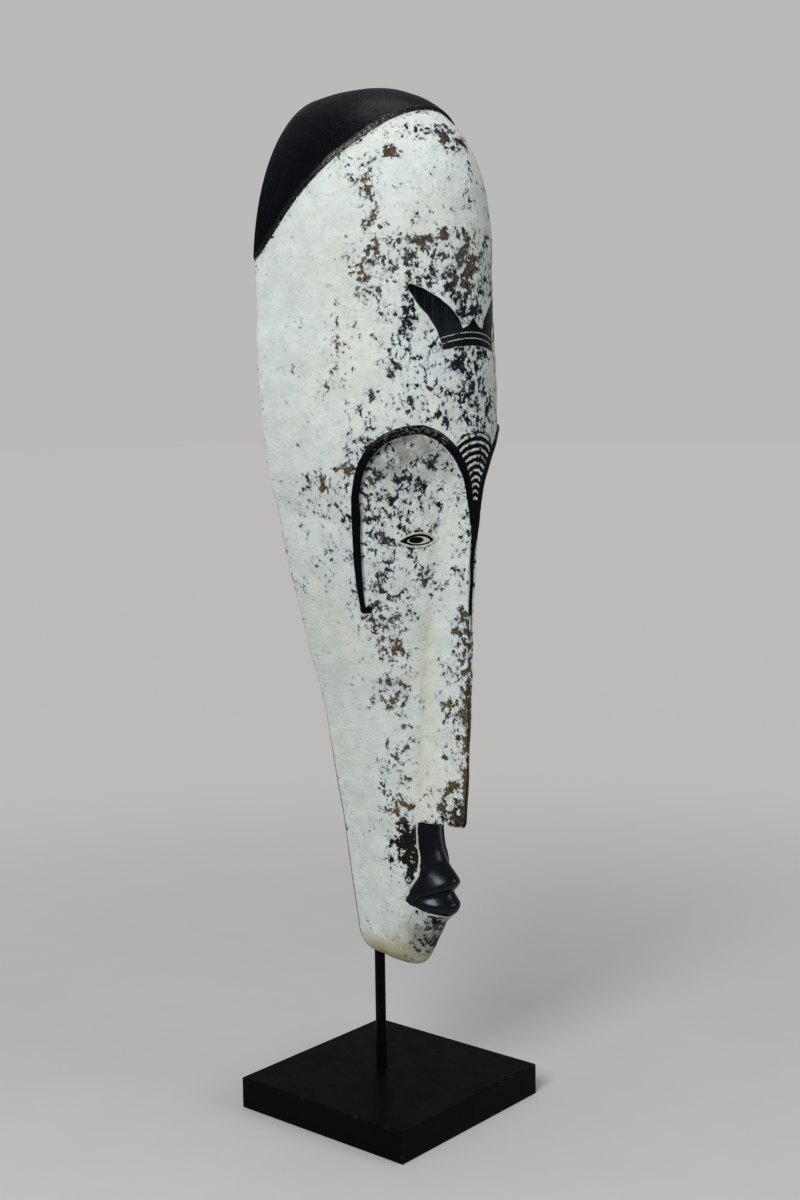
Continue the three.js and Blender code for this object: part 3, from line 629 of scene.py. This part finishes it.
def noise(at, size, detail=3.0, roughness=0.55, distortion=0.0, stretch=(1, 1, 1), shift=0.0):
    # soft noise with features of about size millimetres, longer along an axis where stretch is over 1
    scale = [1000 / (size * k) for k in stretch]
    moved = put("Mapping", {0: at, 1: (shift, shift * 0.7, shift * 1.3), 3: scale}).outputs[0]
    return put("TexNoise", {"Vector": moved, "Scale": 1, "Detail": detail, "Roughness": roughness,
                            "Distortion": distortion}).outputs[0]


def within(value, centre, half, soft):
    # 1 within half of centre, falling to 0 over soft
    off = maths("ABSOLUTE", minus(value, centre))
    return step(off, half + soft, half - soft)


def newGroup(name, inputs, outputs):
    # an input is a number with its default, or a vector where None is given, and all outputs are numbers
    group = drawing["tree"] = bpy.data.node_groups.new(name, "ShaderNodeTree")
    for key, value in inputs.items():
        kind = "Vector" if value is None else "Float"
        socket = group.interface.new_socket(key, in_out="INPUT", socket_type="NodeSocket" + kind)
        if value is not None:
            socket.default_value = value
    for key in outputs:
        group.interface.new_socket(key, in_out="OUTPUT", socket_type="NodeSocketFloat")
    return group, group.nodes.new("NodeGroupInput").outputs, group.nodes.new("NodeGroupOutput")


# Sizes are in millimetres. Paint is gone where the noise passes the level less the wear times the fall.
chipping = dict(size=4.4, clusterSize=13, speckSize=1.7, veilSize=2.6, cluster=0.55, level=0.745, fall=0.255)


def chipGroup():
    # ragged noise lifts the paint, big noise gathers the chips, specks come loose round them and a thin veil of paint
    # stays at their edges. Depth grows from 0 at a chip's edge to 1 well inside it
    k = chipping
    group, given, out = newGroup("paintChips", dict(Position=None, Wear=0.3, Size=1.0), ("Gone", "Thin", "Depth"))
    place = put("VectorMath", {0: given["Position"], 1: given["Size"]}, operation="DIVIDE").outputs[0]
    ragged = noise(place, k["size"], 6, 0.66, 0.3, stretch=(1, 1, 1.15))
    cluster = noise(place, k["clusterSize"], 2, 0.5, shift=31)
    field = scaled(minus(cluster, 0.5), k["cluster"], ragged)
    over = minus(field, scaled(given["Wear"], -k["fall"], k["level"]))
    specks = noise(place, k["speckSize"], 4, 0.7, 0.3, stretch=(1, 1, 1.3), shift=57)
    specks = minus(specks, scaled(maths("MINIMUM", over, 0.1), -0.85, 0.575))
    near = step(over, -0.2, -0.05)
    gone = most(step(over, -0.008, 0.012), times(step(specks, 0, 0.03), near))
    veil = times(step(over, -0.14, -0.01), step(noise(place, k["veilSize"], 3, 0.6, shift=77), 0.38, 0.6))
    feed(out, dict(Gone=gone, Thin=minus(veil, gone, clamp=True), Depth=step(over, 0.0, 0.05)))
    return group


def grainGroup():
    # long streaks along the height: noise squeezed across and drawn out upwards, with finer streaks over it
    group, given, out = newGroup("grainStreaks", dict(Position=None, Contrast=1.0), ("Value", "Fine"))
    broad = noise(given["Position"], 5, 4, 0.6, 0.3, stretch=(1, 1, 14))
    fine = noise(given["Position"], 1.1, 3, 0.6, 0, stretch=(1, 1, 26), shift=11)
    both = plus(times(broad, 0.6), times(fine, 0.4))
    feed(out, dict(Value=scaled(minus(both, 0.5), given["Contrast"], 0.5, clamp=True), Fine=fine))
    return group


def mottleGroup():
    # soft unevenness of a hand-laid coat at three sizes
    group, given, out = newGroup("coatMottle", dict(Position=None), ("Broad", "Middle", "Small"))
    for key, size, detail, shift in (("Broad", 70, 2, 3), ("Middle", 14, 4, 17), ("Small", 2.6, 4, 29)):
        value = noise(given["Position"], size, detail, 0.6, 0.2, shift=shift)
        feed(out, {key: step(value, 0.3, 0.7)})
    return group


def dustGroup():
    # a pale film that gathers on faces that look up, broken by noise
    group, given, out = newGroup("dustFilm", dict(Position=None, Amount=0.3), ("Mask",))
    up = put("SeparateXYZ", {0: put("NewGeometry").outputs["Normal"]}).outputs[2]
    speck = noise(given["Position"], 1.6, 3, 0.7, shift=5)
    cloud = noise(given["Position"], 40, 3, 0.6, shift=41)
    film = times(step(speck, 0.45, 0.75), step(cloud, 0.3, 0.7), step(up, 0.1, 0.9), given["Amount"])
    feed(out, dict(Mask=film))
    return group


chips, grain, mottle, dust = chipGroup(), grainGroup(), mottleGroup(), dustGroup()
print("node groups made")


def newMaterial(name):
    material = bpy.data.materials.new(name)
    material.use_nodes = True
    drawing["tree"] = material.node_tree
    return material, material.node_tree.nodes["Principled BSDF"], put("TexCoord").outputs["Object"]


def use(group, at, **inputs):
    return put("Group", dict(Position=at, **inputs), node_tree=group).outputs


def attribute(key):
    return put("Attribute", attribute_name=key).outputs["Fac"]


def bumped(height, distance, strength):
    return put("Bump", {"Strength": strength, "Distance": distance, "Height": height}).outputs[0]


coat = dict(coolWhite=(0.645, 0.66, 0.615), warmWhite=(0.68, 0.66, 0.575), greyWhite=(0.39, 0.42, 0.385),
            cream=(0.58, 0.53, 0.33), greyDirtAndShade=(0.225, 0.212, 0.168), thinBlue=(0.12, 0.175, 0.255),
            bareDark=(0.011, 0.009, 0.007), bareBlue=(0.011, 0.0155, 0.024), bareBrown=(0.045, 0.03, 0.018),
            ochre=(0.14, 0.092, 0.034), greyWood=(0.08, 0.068, 0.052), edge=(0.028, 0.023, 0.012),
            black=(0.0015, 0.0018, 0.0024), paintedSheenBlue=(0.014, 0.021, 0.034), line=(0.5, 0.49, 0.38),
            rubbed=(0.29, 0.25, 0.2), irisAndShade=(0.022, 0.018, 0.011), whiteRoughness=0.6, blackRoughness=0.27,
            bareRoughness=0.85, gloss=0.045, glossTint=(0.72, 0.85, 1, 1), shineRoughness=0.22,
            shineTint=(0.8, 0.9, 1, 1), thickness=0.0004, hornBars=(727.3, 722.2))


def maskPaint():
    c = coat
    material, shader, at = newMaterial("maskPaint")
    value = {key: attribute(key) for key in ("hair", "band", "horns", "hornLine", "arcs", "bridge", "muzzle", "almond",
                                             "eyeX", "eyeZ", "wear", "ochre", "cream", "grey", "rimDistance")}
    wobble = minus(noise(at, 4, 4, 0.65, shift=71), 0.5)
    tremble = minus(noise(at, 9, 2, 0.5, shift=83), 0.5)
    height = put("SeparateXYZ", {0: at}).outputs[2]  # in metres

    def edged(name, amount):
        # a distance in millimetres made unsteady, as by a hand
        return scaled(wobble, amount, value[name])

    def patch(size, detail, roughness, shift, low, high):
        return step(noise(at, size, detail, roughness, shift=shift), low, high)

    # the white, in its several tones
    tone = use(mottle, at)
    white = tint(tone["Broad"], c["coolWhite"], c["warmWhite"])
    white = tint(times(tone["Middle"], 0.34), white, c["greyWhite"])
    # cream stains, and grey dirt that under the brow's arch is painted shade as well
    dirtAndShade = tint(value["grey"], c["cream"], c["greyDirtAndShade"])
    dirtAndShadeShare = times(value["cream"], scaled(tone["Middle"], 0.6, 0.4))
    white = tint(maths("MULTIPLY", dirtAndShadeShare, 0.9, clamp=True), white, dirtAndShade)
    white = tint(times(tone["Small"], 0.22), white, c["greyWhite"])
    white = tint(times(patch(1.3, 2, 0.6, 47, 0.66, 0.76), 0.4), white, c["greyWood"])

    # bare wood in the chips: brown, grey or ochre well inside them, dark at their edges and bluish high up
    chip = use(chips, at, Wear=value["wear"])
    ochreShare = plus(value["ochre"], noise(at, 8, 4, 0.65, shift=91))
    inner = tint(patch(5, 3, 0.6, 97, 0.4, 0.62), c["bareBrown"], c["greyWood"])
    deepOchre = tint(patch(2.4, 3, 0.6, 107, 0.4, 0.58), c["bareBrown"], c["ochre"])
    inner = tint(step(ochreShare, 0.85, 1.1), inner, deepOchre)
    showing = most(times(chip["Depth"], step(ochreShare, 0.58, 0.78)), step(ochreShare, 1.45, 1.65))
    bluish = times(patch(11, 3, 0.6, 101, 0.4, 0.56), step(height, 0.5, 0.64))
    ground = tint(bluish, c["bareDark"], c["bareBlue"])
    bare = tint(showing, ground, inner)
    colour = tint(chip["Gone"], tint(times(chip["Thin"], 0.62), white, c["thinBlue"]), bare)
    backLine = times(step(edged("rimDistance", 1.6), 2.1, 1.3), step(height, 0.42, 0.3))
    colour = tint(backLine, colour, c["edge"])

    # black areas
    stripe = maths("FRACT", scaled(wobble, 0.6, value["arcs"]))
    stripe = times(step(stripe, 0.0, 0.1), step(stripe, 0.74, 0.63), step(value["bridge"], 0, 0.6),
                   step(scaled(wobble, 3, value["arcs"]), 6.6, 6.2))
    hairArea = step(edged("hair", 1.6), -0.2, 0.2)
    bandArea = step(edged("band", 1.0), -0.15, 0.2)
    hornArea = step(edged("horns", 1.0), -0.2, 0.15)
    mouthArea = step(edged("muzzle", 0.6), -0.2, 0.15)
    black = most(hairArea, bandArea, hornArea, mouthArea, stripe)

    # the eye: the upper lid's line is the heavier one, most of all towards the outer corner
    lidWidth = scaled(step(value["eyeZ"], -0.8, 0.8), 0.8, step(value["eyeX"], 3, 12, (1.1, 2.4)))
    lid = times(step(value["almond"], 0.25, -0.05), step(plus(edged("almond", 0.8), lidWidth), -0.25, 0.1))
    inEye = step(value["almond"], 0, -0.2)

    def oval(centre, half, tall):
        across = maths("POWER", maths("DIVIDE", minus(value["eyeX"], centre), half), 2)
        high = maths("POWER", maths("DIVIDE", minus(value["eyeZ"], eye["pupilZ"]), tall), 2)
        return times(step(plus(across, high), 1.15, 0.85), inEye)
    # the iris sits off towards the outer corner, so its dark brown also paints the shade in that side of the eye
    irisAndShade = oval(eye["irisX"], eye["irisHalf"], eye["irisTall"])
    pupil = oval(eye["pupilX"], eye["pupilHalf"], eye["pupilTall"])
    eyeBall = step(value["almond"], 0.1, -0.2)
    eyeRim = within(edged("almond", 0.6), 1.15, 0.8, 0.3)

    # brushed streaks in the black with a painted bluish sheen along them, strongest on the horns and faint over the
    # muzzle, and where it has rubbed
    brushed = use(grain, at, Contrast=1.6)
    paintedSheen = times(step(brushed["Value"], 0.45, 0.85), scaled(hornArea, 0.7, 0.1))
    blackColour = tint(scaled(mouthArea, 0.06, paintedSheen), c["black"], c["paintedSheenBlue"])
    scraped = noise(at, 4, 5, 0.7, shift=13, stretch=(1, 1, 0.6))
    scraped = scaled(step(height, 0.615, 0.642), 0.16, scraped)
    blackColour = tint(times(bandArea, step(scraped, 0.66, 0.74), 0.3), blackColour, c["rubbed"])
    colour = tint(black, colour, blackColour)

    # the rubbed line under the hair, strongest midway between the side and the top, and the dark seam over it
    midway = times(step(height, 0.86, 0.88), step(height, 0.922, 0.898))
    rub = times(step(scaled(tremble, 5, value["hair"]), 5.5, 0.6), step(value["hair"], -0.3, 0.3),
                patch(1.8, 5, 0.75, 23, 0.43, 0.6), scaled(midway, 0.92, 0.08))
    colour = tint(rub, colour, c["rubbed"])
    seam = times(within(value["hair"], -0.1, 0.25, 0.3), step(tremble, -0.12, 0.05), 0.8)
    colour = tint(seam, colour, c["bareBrown"])

    # the cream lines of the horns, the mouth and the eye
    broken = patch(5, 4, 0.7, 37, 0.34, 0.52)
    hornEdge = times(within(edged("horns", 1.3), -0.1, 0.26, 0.25), broken)
    hornBars = most(*(within(edged("hornLine", 1.3), bar, 0.36, 0.3) for bar in c["hornBars"]))
    mouthLine = times(within(edged("muzzle", 0.5), -0.75, 0.45, 0.3), step(height, 0.2095, 0.2135))
    lines = most(hornEdge, times(hornBars, hornArea, broken), mouthLine, eyeRim)
    colour = tint(lines, colour, c["line"])
    colour = tint(eyeBall, colour, c["line"])
    colour = tint(irisAndShade, colour, c["irisAndShade"])
    colour = tint(most(lid, pupil), colour, c["black"])

    glossy = minus(black, most(lines, rub), clamp=True)
    roughness = put("MapRange", {0: chip["Gone"], 3: c["whiteRoughness"], 4: c["bareRoughness"]}).outputs[0]
    smooth = scaled(brushed["Fine"], 0.2, c["blackRoughness"] - 0.1)
    roughness = put("Mix", {0: glossy, 2: roughness, 3: smooth}).outputs[0]
    whole = minus(1, times(chip["Gone"], minus(1, black)))
    relief = scaled(tone["Small"], scaled(mouthArea, -0.5, 0.6), whole)
    relief = scaled(tone["Middle"], scaled(mouthArea, -1.0, 1.2), relief)
    relief = plus(scaled(brushed["Fine"], 0.25, relief), times(lines, 0.5))
    feed(shader, {"Base Color": colour, "Roughness": roughness, "Normal": bumped(relief, c["thickness"], 0.9),
                  "Coat Weight": times(glossy, scaled(mouthArea, 0.46, 0.05)), "Coat Roughness": c["shineRoughness"],
                  "Coat IOR": 1.4, "Coat Tint": c["shineTint"], "Specular IOR Level": c["gloss"],
                  "Specular Tint": c["glossTint"]})
    return material


wood = dict(dark=(0.05, 0.03, 0.018), mid=(0.17, 0.105, 0.06), pale=(0.3, 0.2, 0.125), dustColour=(0.4, 0.37, 0.33),
            roughness=0.78, wear=0.45, spillAt=3.0, blackFrom=0.793, thickness=0.0004)


def bareWood():
    # bare carved wood behind, with the front's white run over the edge, and its black where the hair is
    w = wood
    material, shader, at = newMaterial("bareWood")
    streak = use(grain, at, Contrast=2.2)
    tone = use(mottle, at)
    colour = tint(streak["Value"], w["dark"], w["mid"])
    colour = tint(times(tone["Broad"], 0.5), colour, w["pale"])
    colour = tint(times(tone["Middle"], 0.35), colour, w["dark"])
    spill = scaled(minus(noise(at, 12, 5, 0.7, shift=19), 0.5), 16, attribute("fromRim"))
    spill = step(spill, w["spillAt"] + 0.4, w["spillAt"] - 0.4)
    spill = times(spill, minus(1, use(chips, at, Wear=w["wear"])["Gone"]))
    top = step(put("SeparateXYZ", {0: at}).outputs[2], w["blackFrom"], w["blackFrom"] + 0.007)
    colour = tint(spill, colour, tint(top, coat["warmWhite"], coat["black"]))
    colour = tint(use(dust, at, Amount=0.5)["Mask"], colour, w["dustColour"])
    height = scaled(spill, 0.8, plus(streak["Value"], times(streak["Fine"], 0.5)))
    feed(shader, {"Base Color": colour, "Roughness": w["roughness"], "Normal": bumped(height, w["thickness"], 0.8)})
    return material


stand = dict(metal=(0.0014, 0.0014, 0.0015), metalWorn=(0.006, 0.0056, 0.0053), metalRoughness=0.35, gloss=0.03,
             lacquer=(0.0014, 0.00135, 0.0013), lacquerPale=(0.004, 0.0038, 0.0036), lacquerRoughness=0.4,
             dustColour=(0.07, 0.068, 0.066), edgeRubAndHighlight=(0.06, 0.05, 0.043), edge=(0.0022, 0.0008),
             thickness=0.00012)


def rodMetal():
    # black lacquered steel, a little worn in small spots
    s = stand
    material, shader, at = newMaterial("rodMetal")
    tone = use(mottle, at)
    chip = use(chips, at, Wear=0.2, Size=0.45)
    colour = tint(times(tone["Middle"], 0.4), s["metal"], s["metalWorn"])
    colour = tint(times(chip["Gone"], 0.7), colour, s["metalWorn"])
    roughness = scaled(tone["Small"], 0.14, s["metalRoughness"] - 0.07)
    bump = bumped(minus(tone["Small"], chip["Gone"]), s["thickness"], 0.4)
    feed(shader, {"Base Color": colour, "Roughness": roughness, "Normal": bump, "Specular IOR Level": s["gloss"]})
    return material


def plateLacquer():
    # black satin lacquer over wood: faint grain, dust on top, and rubbed edges whose lighter colour is also a painted
    # highlight
    s = stand
    material, shader, at = newMaterial("plateLacquer")
    turned = put("Mapping", {0: at, 2: (0, math.pi / 2, 0)}).outputs[0]  # the grain runs along the plate
    streak = use(grain, turned, Contrast=1.5)
    tone = use(mottle, at)
    colour = tint(times(streak["Value"], 0.5), s["lacquer"], s["lacquerPale"])
    colour = tint(use(dust, at, Amount=0.15)["Mask"], colour, s["dustColour"])
    place = put("SeparateXYZ", {0: at}).outputs
    # how near a point is to the two sides and the top; it is on an edge where it is near two of them
    near = []
    for coordinate, end in zip(place, plateHigh):
        near.append(step(maths("ABSOLUTE", coordinate), end - s["edge"][0], end - s["edge"][1]))
    onEdge = most(times(near[0], near[1]), times(near[0], near[2]), times(near[1], near[2]))
    # lighter along the edges where rubbed, which also paints the edges' highlight
    rubbed = times(onEdge, step(noise(at, 6, 5, 0.7, shift=43), 0.52, 0.68), 0.35)
    colour = tint(rubbed, colour, s["edgeRubAndHighlight"])
    roughness = scaled(tone["Middle"], 0.12, s["lacquerRoughness"] - 0.06)
    bump = bumped(plus(streak["Value"], times(tone["Small"], 0.5)), s["thickness"], 0.35)
    feed(shader, {"Base Color": colour, "Roughness": roughness, "Normal": bump, "Specular IOR Level": s["gloss"]})
    return material


for make in (maskPaint, bareWood):
    carvedMask.data.materials.append(make())
for name, make in (("rod", rodMetal), ("base_plate", plateLacquer)):
    finish = make()
    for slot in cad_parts[name].material_slots:
        slot.material = finish
print("materials made")

# The camera's place in metres, the way it looks as (x, y), how far down and rolled in degrees, and the lens.
shot = dict(place=(-1.16524, -1.01403, 0.655), heading=(0.76119885, 0.64851855), down=6.28, roll=-0.84, lens=50.0)


def addCamera():
    data = bpy.data.cameras.new("camera")
    data.sensor_fit = "VERTICAL"
    data.sensor_height = 36
    data.lens = shot["lens"]
    data.clip_end = 50
    camera = newObject("camera", data)
    down = math.radians(shot["down"])
    look = Vector((*(part * math.cos(down) for part in shot["heading"]), -math.sin(down)))
    right = look.cross(Vector((0, 0, 1))).normalized()
    up = right.cross(look)
    roll = math.radians(shot["roll"])
    across = right * math.cos(roll) + up * math.sin(roll)
    tall = up * math.cos(roll) - right * math.sin(roll)
    camera.matrix_world = Matrix.Translation(shot["place"]) @ Matrix((across, tall, -look)).transposed().to_4x4()
    bpy.context.scene.camera = camera


# Each lamp's place, the height it points at on the rod's axis, its size, its power and its colour.
lamps = dict(key=((-2.3, -0.75, 1.95), 0.62, 1.2, 76, (0.865, 0.93, 0.99)),
             fill=((0.7, -2.7, 1.5), 0.6, 1.4, 24, (0.9, 0.96, 1)),
             top=((0.2, 0.1, 3.0), 0.2, 1.4, 21, (1, 1, 1)))
shades = dict(seen=(0.5, 0.49, 0.485), lighting=(0.19, 0.195, 0.205), paper=(0.55, 0.52, 0.5),
              blotch=(0.53, 0.5, 0.48), fade=(0.1, 1.5), half=30)


def studio():
    for name, (place, aim, size, power, colour) in lamps.items():
        data = bpy.data.lights.new(name, "AREA")
        data.shape, data.size, data.energy, data.color = "SQUARE", size, power, colour
        lamp = newObject(name, data)
        lamp.location = place
        lamp.rotation_euler = (Vector((0, 0, aim)) - Vector(place)).to_track_quat("-Z", "Y").to_euler()

    def backdrop():
        # what the camera sees is lighter than what lights the scene
        return tint(put("LightPath").outputs["Is Camera Ray"], shades["lighting"], shades["seen"])
    world = bpy.data.worlds.new("studio")
    bpy.context.scene.world = world
    world.use_nodes = True
    drawing["tree"] = world.node_tree
    feed(world.node_tree.nodes["Background"], {0: backdrop()})
    half = shades["half"]
    mesh = bpy.data.meshes.new("floor")
    mesh.from_pydata([(-half, -half, 0), (half, -half, 0), (half, half, 0), (-half, half, 0)], [], [(0, 1, 2, 3)])
    floor = newObject("floor", mesh)
    # the paper fades into the background with the distance, so no horizon shows
    paper, shader, at = newMaterial("floorPaper")
    far = step(put("VectorMath", {0: at}, operation="LENGTH").outputs[1], *shades["fade"])
    colour = tint(times(use(mottle, at)["Broad"], 0.5), shades["paper"], shades["blotch"])
    feed(shader, {"Base Color": tint(far, colour, (0, 0, 0)), "Emission Color": tint(far, (0, 0, 0), backdrop()),
                  "Emission Strength": 1, "Roughness": 0.9, "Specular IOR Level": 0.05})
    mesh.materials.append(paper)
    bpy.context.scene.view_settings.view_transform = "Standard"


addCamera()
studio()
print("camera and lamps placed")
